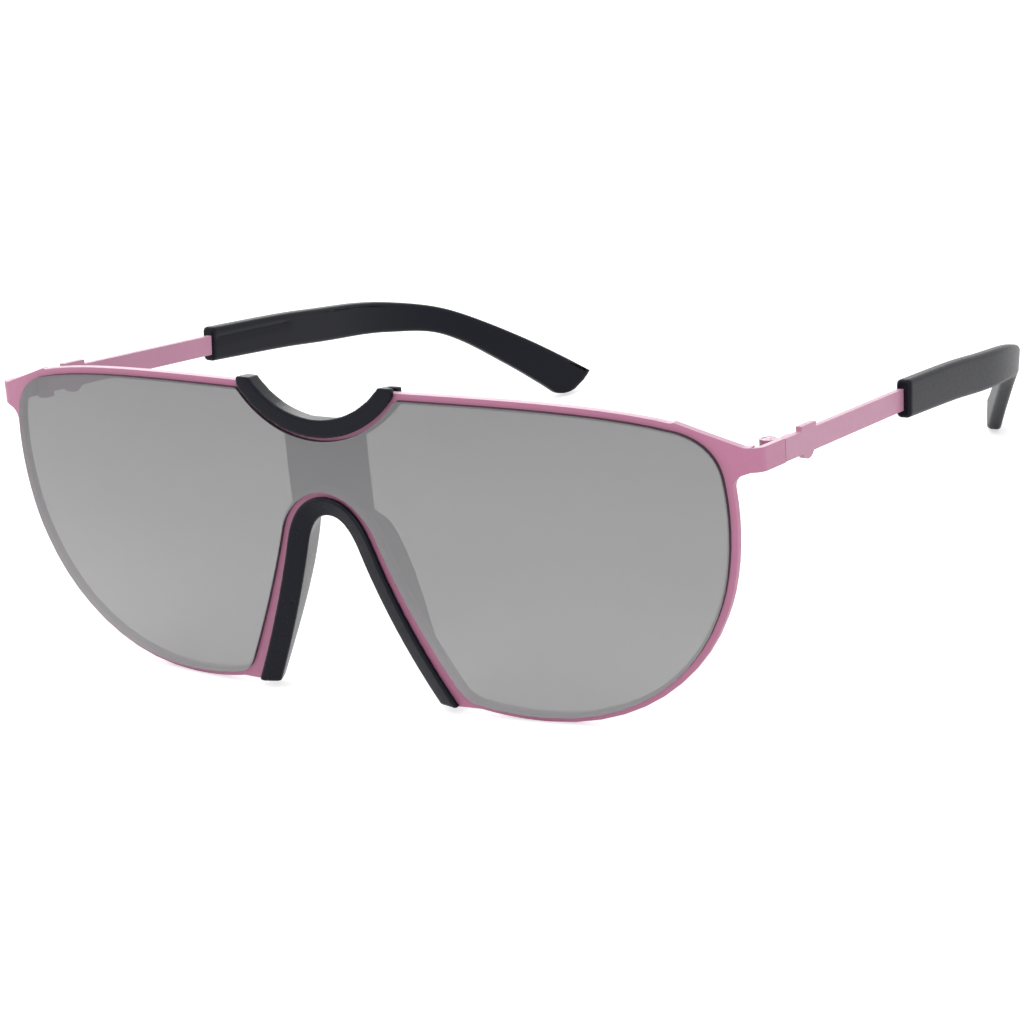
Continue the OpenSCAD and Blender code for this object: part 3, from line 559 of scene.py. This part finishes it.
def make_bridge_skin():
    """A copy of the CAD moulding, opened, rounded over by a fine grid and smoothed."""
    source = frame["nodes"]["bridge_moulding"]
    mesh = source.data.copy()
    mesh.transform(source.matrix_world)
    bm = bmesh.new()
    bm.from_mesh(mesh)
    bmesh.ops.remove_doubles(bm, verts=bm.verts, dist=WELD)
    bm.to_mesh(mesh)
    bm.free()
    piece = bpy.data.objects.new("bridge_skin", mesh)
    scene.collection.objects.link(piece)
    tool = make_openings()
    cut = piece.modifiers.new("cut", "BOOLEAN")
    cut.operation, cut.solver, cut.object = "DIFFERENCE", "EXACT", tool
    grain = piece.modifiers.new("grain", "REMESH")
    grain.mode, grain.voxel_size = "VOXEL", GRAIN_STEP * MM
    soften = piece.modifiers.new("soften", "SMOOTH")
    soften.factor, soften.iterations = SOFTEN_SHARE, SOFTEN_TIMES
    fewer = piece.modifiers.new("fewer", "DECIMATE")
    fewer.ratio = KEPT_FACES
    graph = bpy.context.evaluated_depsgraph_get()
    soft = bpy.data.meshes.new_from_object(piece.evaluated_get(graph))
    piece.modifiers.clear()
    piece.data = soft
    bpy.data.objects.remove(tool)
    for p in soft.polygons:
        p.use_smooth = True
    soft.materials.clear()
    soft.materials.append(MATS["rubber"])
    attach(piece, "front")
    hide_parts("bridge_moulding")


make_bridge_skin()


# ---------------------------------------------------------------- stage and light
# The floor's grey, and what it and the world add where they are seen, so that both are white
FLOOR_HALF, FLOOR_GREY = 9.0, 0.80
SEEN_GLOW, CAMERA_GLOW = 0.30, 0.22
WORLD_LIGHT, WORLD_SEEN = 0.62, 1.0
# Where all the lamps point
AIM = Vector((0, 0, 0.03))


def make_floor():
    a = FLOOR_HALF
    mesh = bpy.data.meshes.new("floor")
    mesh.from_pydata([(-a, -a, 0), (a, -a, 0), (a, a, 0), (-a, a, 0)], [], [(0, 1, 2, 3)])
    floor = bpy.data.objects.new("floor", mesh)
    scene.collection.objects.link(floor)
    m = Mat("floor")
    base = m.principled({"Base Color": (FLOOR_GREY, FLOOR_GREY, FLOOR_GREY, 1),
                         "Roughness": 0.9, "Specular IOR Level": 0.0,
                         "Emission Color": (1, 1, 1, 1)})
    path = m.add("ShaderNodeLightPath")
    direct = m.calc("MULTIPLY", path.outputs["Is Camera Ray"], CAMERA_GLOW)
    glow = m.calc("ADD", m.calc("MULTIPLY", m.seen(), SEEN_GLOW), direct)
    m.join(glow, base.inputs["Emission Strength"])
    mesh.materials.append(m.finish(base))


def make_world():
    world = bpy.data.worlds.new("studio")
    scene.world = world
    world.use_nodes = True
    w = Nodes(world.node_tree, "ShaderNodeOutputWorld")
    sky = w.add("ShaderNodeBackground", {"Color": (1, 1, 1, 1)})
    level = w.map_range(w.seen(), 0, 1, WORLD_LIGHT, WORLD_SEEN)
    w.join(level, sky.inputs["Strength"])
    w.join(sky.outputs[0], w.out.inputs["Surface"])


def softbox(name, place, size, watts):
    data = bpy.data.lights.new(name, "AREA")
    data.shape = "SQUARE"
    data.size = size
    data.energy = watts
    lamp = bpy.data.objects.new(name, data)
    scene.collection.objects.link(lamp)
    lamp.location = place
    lamp.rotation_euler = (AIM - Vector(place)).to_track_quat("-Z", "Y").to_euler()


make_floor()
make_world()
softbox("top_light", (-0.25, -0.2, 1.5), 1.3, 9.0)
softbox("key_light", (1.3, -1.1, 1.0), 1.0, 8.0)
softbox("fill_light", (-1.5, -0.7, 0.7), 1.0, 4.0)
softbox("back_light", (-0.9, 1.35, 0.75), 1.0, 6.0)
